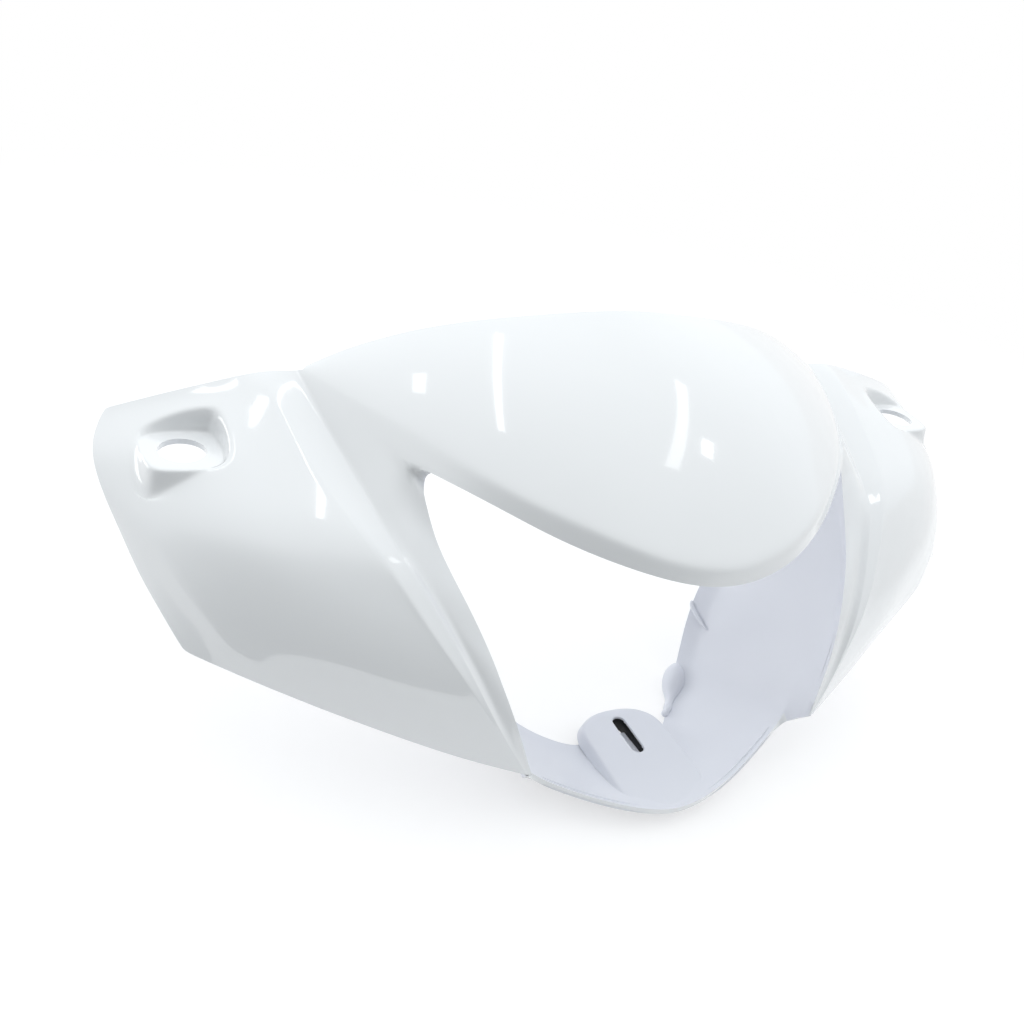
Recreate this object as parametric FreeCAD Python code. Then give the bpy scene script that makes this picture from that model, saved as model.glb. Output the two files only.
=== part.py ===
import FreeCAD, Part
import math
import os

Vector = FreeCAD.Vector

# Headlight housing of a small motorbike: one moulded shell, open at the back.
# Millimetres. X is to the rider's left, -Y is forward, +Z is up. The origin is
# midway between the two mirror holes, on the level of their seats.

# Driving sizes
wall = 2.5                    # thickness of the moulded skin
mirror_spacing = 412.0        # between the two mirror hole centres
mirror_hole = 20.0            # diameter of each mirror hole
seat_width = 34.0             # flat seat around each mirror hole, across
seat_depth = 30.0             # flat seat, front to back
seat_corner = 11.0            # corner radius of the seat
seat_skirt = 3.0              # depth of the seat's side walls below the skin
wing_end_margin = 25.0        # mirror hole to the wing's upper outer corner, across
wing_end_back = 5.5           # upper outer corner behind the rear plane
wing_end_height = 2.5         # upper outer corner above the mirror seats
rear_plane = 29.0             # rear edges behind the mirror holes
visor_height = 63.0           # top of the visor above the mirror seats
visor_rear_dip = 24.0         # how far the visor's rear edge curves forward in the middle
visor_reach = 121.0           # visor tip ahead of the mirror holes
visor_half_width = 149.0      # centre plane to the notch beside the visor
notch_height = 22.5           # notch above the mirror seats
visor_crown = 10.0            # how far the dome stands out from a straight sheet
visor_flare = 0.35            # how far the dome's crown leans outward at the sides
rim_dip = 0.5                 # visor tip below the mirror seats
rim_depth = 8.0               # height of the visor's turned-down rim at its tip
rim_rake = 0.8                # lower edge of that rim ahead of its upper edge
wing_crown = 12.5             # how far a wing stands out from a straight sheet
wing_crown_low = 1.2          # how low on the wing its crown lies, 1 for the middle
wing_drop = 59.0              # wing's lower outer corner below the mirror seats
wing_corner_reach = 57.0      # wing's lower outer corner ahead of the mirror holes
wing_corner_inset = 17.0      # lower outer corner nearer the centre than the upper one
tip_half_width = 81.5         # centre plane to a wing's lower front tip
tip_drop = 97.0               # wing tip below the mirror seats
tip_reach = 124.5             # wing tip ahead of the mirror holes
strip_end = 2.5               # width of the side strip where it ends at the tip
pocket_inset = 24.5           # pocket beside the lamp opening, inward from the notch
pocket_reach = 66.5           # pocket ahead of the notch
pocket_height = 15.0          # pocket above the mirror seats
chin_reach = 139.0            # chin's front edge ahead of the mirror holes
chin_drop = 126.0             # chin's front edge below the mirror seats
chin_depth = 57.0             # front edge to rear edge of the chin on the centre plane
chin_fall = 5.0               # fall of the chin floor towards its rear edge
chin_corner_back = 9.5        # chin's front corner behind and inside the wing tip
chin_corner_drop = 13.0       # chin's front corner below the wing tip
chin_side_half_width = 118.0  # centre plane to the top of the chin's side wall
chin_side_reach = 2.0         # top of the chin's side wall ahead of the mirror holes
chin_side_drop = 25.0         # top of the chin's side wall below the mirror seats
chin_belly = 3.0              # how far the chin's sheet bellies outward
tab_rise = 6.0                # flat top of the adjuster tab above the chin's rear edge
tab_half_width = 22.0         # half width of the tab
tab_nose_half_width = 9.0     # half width of the tab's nose
tab_taper = 11.0              # length of the tab's tapered nose
tab_nose = 11.5               # tab's nose behind the chin's rear edge
tab_length = 57.0             # tab from its root near the chin's front to its nose
web_share = 0.7               # part of a station that the pocket's web closes
slot_width = 7.0              # width of the adjuster slot
slot_length = 25.0            # length of the adjuster slot
slot_to_nose = 19.0           # middle of the slot to the tab's nose

# Numbers of stations along the skin
visor_stations = 10           # from the notch to the centre plane
dome_rows = 6                 # from the visor's rear edge to its rim
wing_stations = 10            # from the notch to the wing tip
wing_rows = 8                 # from the strip to the wing's outer end
pocket_station = 3            # station of the pocket, counted from the notch
chin_stations = 14            # from the centre plane to the top of the chin's side
chin_rows = 4                 # from the chin's front edge to its rear edge
degree = 3                    # of every curve and surface of the skin
sewing_gap = 0.02             # largest gap closed where faces meet

# Small steps from the notch to the corners of the panels that meet there
rear_step = Vector(-2.5, -0.5, 2.0)
rim_step = Vector(0.0, -2.0, 0.8)
valley_step = Vector(1.3, -1.3, 0.2)
wing_step = Vector(2.5, -0.5, -0.3)

# Directions that tell the outside of each panel
dome_out = Vector(0, -0.45, 0.9)
wing_out = Vector(0.5, -0.6, 0.62)
strip_out = Vector(0.2, -0.6, 0.7)
rim_out = Vector(0.5, -0.8, 0.2)

# Corners of the skin on the +X side
notch = Vector(visor_half_width, rear_plane, notch_height)
rear_corner = notch + rear_step
rim_corner = notch + rim_step
valley_corner = notch + valley_step
wing_inner = notch + wing_step
wing_outer = Vector(mirror_spacing / 2 + wing_end_margin, rear_plane + wing_end_back, wing_end_height)
wing_low = Vector(wing_outer.x - wing_corner_inset, -wing_corner_reach, -wing_drop)
tip = Vector(tip_half_width, -tip_reach, -tip_drop)
strip_tip = tip + Vector(-strip_end, 0, 0)
rim_middle = Vector(0, -visor_reach, -rim_dip)
rear_middle = Vector(0, rear_plane - visor_rear_dip, visor_height)
low_rim_middle = rim_middle + Vector(0, -rim_rake, -rim_depth)
pocket = notch + Vector(-pocket_inset, -pocket_reach, pocket_height - notch_height)
chin_front = Vector(0, -chin_reach, -chin_drop)
chin_rear = chin_front + Vector(0, chin_depth, -chin_fall)
chin_corner = tip + Vector(-chin_corner_back, chin_corner_back, -chin_corner_drop)
chin_side_top = Vector(chin_side_half_width, -chin_side_reach, -chin_side_drop)
chin_axis = Vector(0, (chin_front.y + chin_side_top.y) / 2, chin_side_top.z)
seat_centre = Vector(mirror_spacing / 2, 0, 0)


def bowed(start, end, bows):
    """Points from start to end, each set off from the chord by its own bow."""
    chord = end - start
    inner = [start + chord * share + Vector(*bow) for share, bow in bows]
    return [start] + inner + [end]


def mirrored(point):
    """The same point on the other side of the centre plane."""
    return Vector(-point.x, point.y, point.z)


def full_width(half):
    """A row from the +X side to the -X side, from its half that ends on the centre plane."""
    return half + [mirrored(point) for point in reversed(half[:-1])]


def stations(points, count):
    """Points at even distances on the smooth curve through the given points."""
    curve = Part.BSplineCurve()
    curve.interpolate(points)
    return curve.discretize(Number=count)


def even_stations_full(half_points, half_count):
    """Stations on the +X half of a curve that crosses the centre plane smoothly."""
    row = stations(full_width(half_points), 2 * half_count - 1)
    half = row[:half_count]
    half[-1].x = 0.0
    return half


def knots_for(count):
    """Even knots and end multiplicities for a row of poles."""
    order = min(degree, count - 1)
    spans = count - order
    knots = [float(k) for k in range(spans + 1)]
    mults = [order + 1] + [1] * (spans - 1) + [order + 1]
    return order, knots, mults


def surface(grid):
    """Smooth surface held by a grid of poles."""
    u_order, u_knots, u_mults = knots_for(len(grid))
    v_order, v_knots, v_mults = knots_for(len(grid[0]))
    result = Part.BSplineSurface()
    result.buildFromPolesMultsKnots(grid, u_mults, v_mults, u_knots, v_knots,
                                    False, False, u_order, v_order)
    return result


def edge(poles, first=None, last=None):
    """Edge held by a row of poles, or the part of it between two knots."""
    order, knots, mults = knots_for(len(poles))
    curve = Part.BSplineCurve()
    curve.buildFromPolesMultsKnots(poles, mults, knots, False, order)
    start = knots[0] if first is None else first
    end = knots[-1] if last is None else last
    return curve.toShape(start, end)


def face(grid, first, last):
    """Face on the surface of a grid, between two knots of its first direction."""
    whole = surface(grid)
    v_last = knots_for(len(grid[0]))[1][-1]
    whole.segment(first, last, 0.0, v_last)
    return whole.toShape()


def last_knot(row):
    """Last knot of a row of poles."""
    return knots_for(len(row))[1][-1]


def column(grid, index):
    """One column of a grid."""
    return [row[index] for row in grid]


def normal_at(grid, i, j, outward):
    """Unit normal of a grid of poles, on the side of the outward vector."""
    below, above = max(i - 1, 0), min(i + 1, len(grid) - 1)
    left, right = max(j - 1, 0), min(j + 1, len(grid[0]) - 1)
    along = grid[above][j] - grid[below][j]
    across = grid[i][right] - grid[i][left]
    normal = along.cross(across).normalize()
    return normal if normal.dot(outward) > 0 else normal * -1


def inset(point, normals):
    """Point moved inward by the wall, square to every face that meets there."""
    total = Vector(0, 0, 0)
    for normal in normals:
        total = total + normal
    mean = total * (1.0 / len(normals))
    return point - mean * (wall / mean.dot(mean))


def inset_grid(grid, depth, outward):
    """Every pole of a grid moved inward by a depth."""
    return [[grid[i][j] - normal_at(grid, i, j, outward) * depth for j in range(len(grid[0]))]
            for i in range(len(grid))]


def ruled(first, second):
    """Face ruled between two edges."""
    return Part.makeRuledSurface(first, second)


def closed_solid(faces):
    """Solid inside a set of faces that meet edge to edge."""
    sewn = Part.makeCompound(faces)
    sewn.sewShape(sewing_gap)
    solid = Part.makeSolid(sewn.Shells[0])
    if solid.Volume < 0:
        solid.reverse()
    return solid


def thick_patch(outer, inner):
    """Solid between two grids of poles with the same layout."""
    u_last, v_last = len(outer) - 1, len(outer[0]) - 1
    faces = [surface(outer).toShape(), surface(inner).toShape()]
    for index in (0, u_last):
        faces.append(ruled(edge(outer[index]), edge(inner[index])))
    for index in (0, v_last):
        faces.append(ruled(edge(column(outer, index)), edge(column(inner, index))))
    return closed_solid(faces)


# Rows of the visor
rim = even_stations_full(list(reversed(bowed(rim_middle, rim_corner, [
    (0.11, (11.5, -11.5, 0.0)), (0.27, (19.5, -19.0, 4.0)), (0.49, (19.5, -21.0, 5.0)),
    (0.68, (15.0, -16.5, 6.5)), (0.78, (12.0, -13.0, 5.0))]))), visor_stations)
rear_edge = even_stations_full(list(reversed(bowed(rear_middle, rear_corner, [
    (0.28, (2.0, -0.5, 6.5)), (0.60, (3.0, -3.0, 10.0)), (0.84, (2.0, -0.5, 6.5))]))), visor_stations)
valley = stations(bowed(valley_corner, pocket, [(0.49, (3.5, -1.0, -1.5))]), pocket_station + 1)
low_rim = even_stations_full(list(reversed(bowed(low_rim_middle, pocket, [
    (0.22, (8.5, -12.0, 0.0)), (0.45, (9.5, -14.0, -1.0)),
    (0.69, (7.0, -10.5, 1.0))]))), visor_stations - pocket_station)

# Rows of a wing and of the strip beside the lamp opening
crease = stations(bowed(wing_inner, tip, [
    (0.22, (7.0, -11.5, 10.5)), (0.39, (11.5, -19.0, 18.5)),
    (0.59, (12.0, -22.0, 21.0)), (0.79, (8.5, -16.5, 14.5))]), wing_stations)
wing_end = stations(bowed(wing_outer, wing_low, [
    (0.18, (13.5, -2.5, 0.5)), (0.51, (10.0, -2.5, 0.5)), (0.84, (4.5, -2.0, 1.0))]), wing_stations)
wing_top = stations(bowed(wing_inner, wing_outer, [
    (0.20, (0.5, 0.5, 2.5)), (0.52, (0.5, -1.5, 3.5)), (0.78, (0.5, -2.0, 2.5))]), wing_rows)
wing_bottom = stations(bowed(tip, wing_low, [
    (0.20, (0.5, -1.0, -3.0)), (0.43, (2.0, -1.0, -3.0)),
    (0.67, (1.5, -3.5, -0.5)), (0.89, (2.0, -2.5, -0.5))]), wing_rows)
opening_edge = stations(bowed(pocket, strip_tip, [
    (0.13, (-0.5, -3.0, 3.5)), (0.24, (1.0, -3.0, 2.0)), (0.44, (1.5, -9.0, 6.0)),
    (0.69, (1.5, -9.5, 7.0))]), wing_stations - pocket_station)


def dome_grid():
    """Poles of the visor's dome, from the +X notch to the -X notch."""
    half = []
    middle_length = (rear_edge[-1] - rim[-1]).Length
    for rear, front in zip(rear_edge, rim):
        side = rear.x / visor_half_width
        out = (dome_out + Vector(visor_flare * side, 0, 0)).normalize()
        crown = visor_crown * (front - rear).Length / middle_length
        row = []
        for j in range(dome_rows):
            share = j / (dome_rows - 1)
            row.append(rear + (front - rear) * share + out * (4 * crown * share * (1 - share)))
        half.append(row)
    return half + [[mirrored(point) for point in row] for row in reversed(half[:-1])]


def wing_grid():
    """Poles of the +X wing, between its four edges and crowned outward."""
    out = Vector(wing_out).normalize()
    grid = []
    for i in range(wing_stations):
        down = i / (wing_stations - 1)
        row = []
        for j in range(wing_rows):
            across = j / (wing_rows - 1)
            between_ends = crease[i] * (1 - across) + wing_end[i] * across
            between_edges = wing_top[j] * (1 - down) + wing_bottom[j] * down
            corners = ((wing_inner * (1 - across) + wing_outer * across) * (1 - down)
                       + (tip * (1 - across) + wing_low * across) * down)
            crown = wing_crown * math.sin(math.pi * across) * math.sin(math.pi * down ** wing_crown_low)
            row.append(between_ends + between_edges - corners + out * crown)
        grid.append(row)
    return grid


dome = dome_grid()
wing = wing_grid()
pocket_knot = pocket_station - 1.0
dome_last = last_knot(dome)
wing_last = last_knot(wing)
dome_edge = dome_rows - 1


def side_normal(first, second, index, outward):
    """Unit normal of the band between two rows, at one station."""
    return normal_at([first, second], 0, index, outward)


def inner_rows():
    """All rows of the skin moved inward by the wall, square to the panels that meet on them."""
    band_low = valley + low_rim[1:]
    strip_in = valley + opening_edge[1:]
    dome_in = inset_grid(dome, wall, dome_out)
    for i in range(len(dome)):
        half = min(i, len(dome) - 1 - i)
        band = side_normal(rim, band_low, half, rim_out)
        if i > half:
            band = mirrored(band)
        dome_in[i][dome_edge] = inset(dome[i][dome_edge],
                                      [normal_at(dome, i, dome_edge, dome_out), band])
    wing_in = inset_grid(wing, wall, wing_out)
    for i in range(wing_stations):
        strip = side_normal(crease, strip_in, i, strip_out)
        wing_in[i][0] = inset(wing[i][0], [normal_at(wing, i, 0, wing_out), strip])
    valley_in, low_rim_in, opening_in = [], [], []
    for i in range(pocket_station + 1):
        upper = side_normal(rim, band_low, i, rim_out)
        lower = side_normal(crease, strip_in, i, strip_out)
        valley_in.append(inset(valley[i], [upper, lower]))
    for i in range(len(low_rim)):
        low_rim_in.append(inset(low_rim[i], [side_normal(rim, band_low, i + pocket_station, rim_out)]))
    for i in range(len(opening_edge)):
        strip = side_normal(crease, strip_in, i + pocket_station, strip_out)
        opening_in.append(inset(opening_edge[i], [strip]))
    low_rim_in[0] = valley_in[-1]
    opening_in[0] = valley_in[-1]
    low_rim_in[-1].x = 0.0
    return dome_in, wing_in, valley_in, low_rim_in, opening_in


def skin_edges(dome_rows_grid, wing_grid_rows, valley_row, low_rim_row, opening_row):
    """Named edges of one skin, outer or inner, on the +X side and across the visor."""
    rim_row = column(dome_rows_grid, dome_edge)
    rear_row = column(dome_rows_grid, 0)
    crease_row = column(wing_grid_rows, 0)
    end_row = column(wing_grid_rows, wing_rows - 1)
    return {
        "rim side": edge(rim_row, 0.0, pocket_knot),
        "rim front": edge(rim_row, pocket_knot, dome_last - pocket_knot),
        "rear side": edge(rear_row, 0.0, pocket_knot),
        "rear middle": edge(rear_row, pocket_knot, dome_last - pocket_knot),
        "dome end": edge(dome_rows_grid[0]),
        "valley": edge(valley_row),
        "low rim": edge(full_width(low_rim_row)),
        "crease upper": edge(crease_row, 0.0, pocket_knot),
        "crease lower": edge(crease_row, pocket_knot, wing_last),
        "opening": edge(opening_row),
        "wing top": edge(wing_grid_rows[0]),
        "wing bottom": edge(wing_grid_rows[-1]),
        "end upper": edge(end_row, 0.0, pocket_knot),
        "end lower": edge(end_row, pocket_knot, wing_last),
        "rim end": Part.makeLine(rim_row[0], valley_row[0]),
        "valley end": Part.makeLine(valley_row[0], crease_row[0]),
        "strip end": Part.makeLine(opening_row[-1], crease_row[-1]),
    }


def skin_faces(edges, dome_rows_grid, wing_grid_rows):
    """Faces of one skin: those across the visor, and those of the +X side."""
    middle = [face(dome_rows_grid, pocket_knot, dome_last - pocket_knot),
              ruled(edges["rim front"], edges["low rim"])]
    side = [face(dome_rows_grid, 0.0, pocket_knot),
            ruled(edges["rim side"], edges["valley"]),
            ruled(edges["valley"], edges["crease upper"]),
            ruled(edges["opening"], edges["crease lower"]),
            face(wing_grid_rows, 0.0, pocket_knot),
            face(wing_grid_rows, pocket_knot, wing_last)]
    return middle, side


def flipped(shape):
    """The shape on the other side of the centre plane."""
    return shape.mirror(Vector(0, 0, 0), Vector(1, 0, 0))


def make_skin():
    """Visor, strips and wings as one thick moulded skin."""
    outer_rows = (dome, wing, valley, low_rim, opening_edge)
    inner = inner_rows()
    outer_edges = skin_edges(*outer_rows)
    inner_edges = skin_edges(*inner)
    faces = []
    for edges, rows in ((outer_edges, outer_rows), (inner_edges, inner)):
        middle, side = skin_faces(edges, rows[0], rows[1])
        faces += middle + side + [flipped(item) for item in side]
    for name in ("rear middle", "low rim"):
        faces.append(ruled(outer_edges[name], inner_edges[name]))
    for name in ("rear side", "dome end", "rim end", "valley end", "wing top", "end upper",
                 "end lower", "wing bottom", "strip end", "opening"):
        side = ruled(outer_edges[name], inner_edges[name])
        faces += [side, flipped(side)]
    return closed_solid(faces)


def chin_front_row():
    """Front edge of the chin, then a line on the back of the strip, up to the pocket."""
    front = bowed(chin_front, chin_corner, [(0.30, (0.5, -4.0, -1.5)), (0.57, (0.0, -4.0, -2.0)),
                                            (0.82, (0.0, -1.5, -1.0))])
    back = []
    for i in range(len(opening_edge) - 2, 0, -1):
        strip = side_normal(crease, valley + opening_edge[1:], i + pocket_station, strip_out)
        middle = (opening_edge[i] + crease[i + pocket_station]) * 0.5
        back.append(middle - strip * (wall / 2))
    return even_stations_full(list(reversed(front + back)), chin_stations)


def chin_rear_row():
    """Rear edge of the chin, from the centre plane up its side wall."""
    points = bowed(chin_rear, chin_side_top, [
        (0.09, (14.5, -9.0, -10.0)), (0.22, (21.0, 4.5, -27.5)), (0.33, (21.0, 11.5, -31.0)),
        (0.44, (17.0, 15.0, -30.5)), (0.53, (12.5, 14.5, -25.0)), (0.81, (4.5, 9.0, -13.0))])
    return even_stations_full(list(reversed(points)), chin_stations)


def make_chin():
    """Trough-shaped chin behind the lower part of the lamp opening."""
    half = []
    for front, rear in zip(chin_front_row(), chin_rear_row()):
        out = (front + rear) * 0.5 - chin_axis
        out.normalize()
        row = []
        for j in range(chin_rows):
            share = j / (chin_rows - 1)
            row.append(front + (rear - front) * share + out * (4 * chin_belly * share * (1 - share)))
        half.append(row)
    inside = half + [[mirrored(point) for point in row] for row in reversed(half[:-1])]
    outside = []
    for i in range(len(inside)):
        away = inside[i][0] - chin_axis
        outside.append([inside[i][j] + normal_at(inside, i, j, away) * wall for j in range(chin_rows)])
    return thick_patch(outside, inside)


def prism(points, low, high, corner):
    """Upright prism on an outline, its upright edges rounded."""
    outline = [Vector(point.x, point.y, low) for point in points]
    block = Part.Face(Part.makePolygon(outline + outline[:1])).extrude(Vector(0, 0, high - low))
    upright = [item for item in block.Edges if item.BoundBox.ZLength > (high - low) / 2]
    return block.makeFillet(corner, upright)


def seat_outline(margin):
    """Corners of the mirror seat, grown by a margin."""
    half_width, half_depth = seat_width / 2 + margin, seat_depth / 2 + margin
    points = []
    for side, end in ((1, -1), (1, 1), (-1, 1), (-1, -1)):
        points.append(seat_centre + Vector(side * half_width, end * half_depth, 0))
    return points


def add_seat(body):
    """Flat mirror seat that stands out of the wing in front and is sunk into it behind."""
    room = seat_width
    far_out = inset_grid(wing, -room, wing_out)
    outside = thick_patch(far_out, wing)
    near_skin = thick_patch(far_out, inset_grid(wing, wall + seat_skirt, wing_out))
    plate = prism(seat_outline(0), -wall, 0, seat_corner)
    block = prism(seat_outline(0), -room, 0, seat_corner).common(near_skin)
    walls = prism(seat_outline(wall), -wall, room / 2, seat_corner + wall).cut(outside)
    hollow = prism(seat_outline(-wall), -room, -wall, seat_corner - wall)
    recess = prism(seat_outline(0), 0, room, seat_corner)
    hole = Part.makeCylinder(mirror_hole / 2, 2 * room, seat_centre - Vector(0, 0, room))
    return body.fuse([plate, block, walls]).cut([recess, hollow, hole])


def make_web():
    """Thin web that closes the pocket between the visor's rim and the strip."""
    corners = [pocket,
               pocket + (low_rim[1] - pocket) * web_share,
               pocket + (opening_edge[1] - pocket) * web_share]
    across = (corners[1] - corners[0]).cross(corners[2] - corners[0]).normalize() * wall
    if across.dot(strip_out) > 0:
        across = across * -1
    return Part.Face(Part.makePolygon(corners + corners[:1])).extrude(across)


def tab_outline(margin):
    """Corners of the adjuster tab, grown by a margin."""
    half_width, nose_half_width = tab_half_width + margin, tab_nose_half_width + margin
    nose = chin_rear.y + tab_nose
    root = nose - tab_length
    half = [Vector(half_width, root - margin, 0), Vector(half_width, nose - tab_taper, 0),
            Vector(nose_half_width, nose + margin, 0)]
    return half + [mirrored(point) for point in reversed(half)]


def under_chin():
    """Room under the middle of the chin's floor, half way through its wall."""
    ends = []
    for share in (0, 1.5):
        depth = chin_depth * share
        ends.append(chin_front + Vector(0, depth, -chin_fall * share - wall / 2))
    below = Vector(0, 0, -tab_length)
    side = Part.makePolygon([ends[0], ends[1], ends[1] + below, ends[0] + below, ends[0]])
    room = Part.Face(side).extrude(Vector(4 * tab_half_width, 0, 0))
    room.translate(Vector(-2 * tab_half_width, 0, 0))
    return room


def make_slot(middle, low, high):
    """Upright slot with round ends, along Y, on the centre plane."""
    straight = slot_length - slot_width
    start = Vector(0, middle - straight / 2, low)
    slot = Part.makeBox(slot_width, straight, high - low, start - Vector(slot_width / 2, 0, 0))
    ends = [Part.makeCylinder(slot_width / 2, high - low, start + Vector(0, shift, 0))
            for shift in (0, straight)]
    return slot.fuse(ends)


def make_tab():
    """Adjuster tab on the chin floor, the hollow below it, and its slot."""
    top = chin_rear.z + tab_rise
    floor = chin_rear.z - wall
    tab = prism(tab_outline(0), floor, top, wall).cut(under_chin())
    hollow = prism(tab_outline(-wall), floor - wall, top - wall, wall / 2)
    slot = make_slot(chin_rear.y + tab_nose - slot_to_nose, floor, top + wall)
    return tab, hollow, slot


def make_housing():
    """The whole moulding."""
    half_web = make_web()
    body = make_skin().fuse([make_chin(), half_web, flipped(half_web)])
    tab, hollow, slot = make_tab()
    body = body.fuse(tab).cut([hollow, slot])
    body = add_seat(body)
    body = flipped(add_seat(flipped(body)))
    return body


def main():
    """Build the housing and write it."""
    os.makedirs("parts", exist_ok=True)
    housing = make_housing()
    print("valid", housing.isValid(), "solids", len(housing.Solids), "volume", round(housing.Volume))
    housing.exportStep("parts/headlight_housing.step")


main()
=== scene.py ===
"""Looks of a moulded motorbike headlight housing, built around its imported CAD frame.

Sizes of the moulding are in millimetres, in the frame's own axes, and every finished
mesh is scaled to metres. The shell is given for the +X side and mirrored. Sizes of the
studio are in metres.
"""

import logging
import math
from bisect import bisect_left
from dataclasses import dataclass, field
from enum import Enum
from functools import cached_property

import bmesh
import bpy
from mathutils import Matrix, Vector
from mathutils.geometry import interpolate_bezier


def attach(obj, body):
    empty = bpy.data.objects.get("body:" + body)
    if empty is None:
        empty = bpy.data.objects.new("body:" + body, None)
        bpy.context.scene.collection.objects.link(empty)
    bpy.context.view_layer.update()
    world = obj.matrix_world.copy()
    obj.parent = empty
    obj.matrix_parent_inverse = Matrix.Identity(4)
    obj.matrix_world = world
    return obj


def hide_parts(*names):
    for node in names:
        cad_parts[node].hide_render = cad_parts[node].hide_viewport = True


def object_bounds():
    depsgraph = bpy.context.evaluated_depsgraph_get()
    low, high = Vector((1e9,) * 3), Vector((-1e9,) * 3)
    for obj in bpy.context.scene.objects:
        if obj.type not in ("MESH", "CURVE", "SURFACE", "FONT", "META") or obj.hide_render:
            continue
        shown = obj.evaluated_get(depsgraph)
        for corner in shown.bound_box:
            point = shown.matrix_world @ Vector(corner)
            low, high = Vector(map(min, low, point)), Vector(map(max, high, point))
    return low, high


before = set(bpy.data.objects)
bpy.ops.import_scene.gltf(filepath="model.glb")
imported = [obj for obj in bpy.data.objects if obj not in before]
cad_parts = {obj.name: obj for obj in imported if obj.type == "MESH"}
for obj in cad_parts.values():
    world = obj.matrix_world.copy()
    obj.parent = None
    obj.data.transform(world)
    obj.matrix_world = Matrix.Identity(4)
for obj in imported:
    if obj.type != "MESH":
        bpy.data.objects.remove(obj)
CAD_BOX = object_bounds()

LOG = logging.getLogger("headlight_housing")
MM = 0.001
CENTRE_GAP = 0.01
RAIL_STEPS = 16
BLOCK_CELLS = 4
SUBDIVISION = 2
CEILING = 0.75
FLOOR_SEGMENTS = 96
MIX_COLOUR_A, MIX_COLOUR_B, MIX_COLOUR_RESULT = 6, 7, 2

Point = tuple[float, float, float]
Span = tuple[float, float]
Rows = list[list[Vector]]


class Finish(Enum):
    """Material slot of a face, by the side of the mould that made it; the core side's darker tone is
    partly painted shade.
    """

    POLISHED = 0
    CORE = 1


class Sheet(Enum):
    """Sheet of the studio floor, by what it does."""

    LIT = "studio_floor"
    VIEW_ONLY = "studio_front"


def blend(share: float, start: float, end: float) -> float:
    """Smooth step from 0 at start to 1 at end.

    Args:
        share: Where the step is read.
        start: Value below which the step is 0.
        end: Value above which the step is 1.

    Returns:
        The step's height.
    """
    t = min(max((share - start) / (end - start), 0.0), 1.0)
    return t * t * (3.0 - 2.0 * t)


def between(start: float, end: float, share: float) -> float:
    """Number at a share of the way from start to end."""
    return start + (end - start) * share


@dataclass(frozen=True)
class Ramp:
    """Number that goes smoothly from one value to another over a span of a line."""

    start: float
    end: float
    span: Span

    def at(self, place: float) -> float:
        """Number at a place on the line."""
        return between(self.start, self.end, blend(place, *self.span))


@dataclass(frozen=True)
class Swell:
    """Height that rises over one span of a line and falls again over another."""

    height: float
    rise: Span
    fall: Span
    loss: float = 1.0

    def at(self, place: float) -> float:
        """Height at a place on the line."""
        return self.height * blend(place, *self.rise) * (1 - self.loss * blend(place, *self.fall))


@dataclass(frozen=True)
class Rail:
    """Smooth line through the points that carry an edge of the moulding."""

    points: tuple[Point, ...]

    @staticmethod
    def _beyond(end: Vector, inner: Vector) -> Vector:
        """Helper point past an end: mirrored, where the line ends on the centre plane."""
        return Vector((-inner.x, inner.y, inner.z)) if end.x == 0.0 else end * 2 - inner

    @cached_property
    def _line(self) -> list[Vector]:
        """Points close together along the whole line."""
        knots = [Vector(p) for p in self.points]
        padded = [self._beyond(*knots[:2]), *knots, self._beyond(knots[-1], knots[-2])]
        line: list[Vector] = []
        for a, b, c, d in zip(padded, padded[1:], padded[2:], padded[3:]):
            length = (c - b).length
            start = (c - a) * (length / ((b - a).length + length))
            end = (d - b) * (length / ((d - c).length + length))
            line += interpolate_bezier(b, b + start / 3, c - end / 3, c, RAIL_STEPS + 1)[:-1]
        return line + [knots[-1]]

    @cached_property
    def _reach(self) -> list[float]:
        """Length from the start to each point of the line."""
        reach = [0.0]
        for a, b in zip(self._line, self._line[1:]):
            reach.append(reach[-1] + (b - a).length)
        return reach

    def at(self, share: float) -> Vector:
        """Point at a share of the line's length.

        Args:
            share: 0 at the start, 1 at the end.

        Returns:
            The point on the line.
        """
        goal = min(max(share, 0.0), 1.0) * self._reach[-1]
        i = max(bisect_left(self._reach, goal), 1)
        before, after = self._reach[i - 1:i + 1]
        return self._line[i - 1].lerp(self._line[i], (goal - before) / (after - before))


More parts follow.
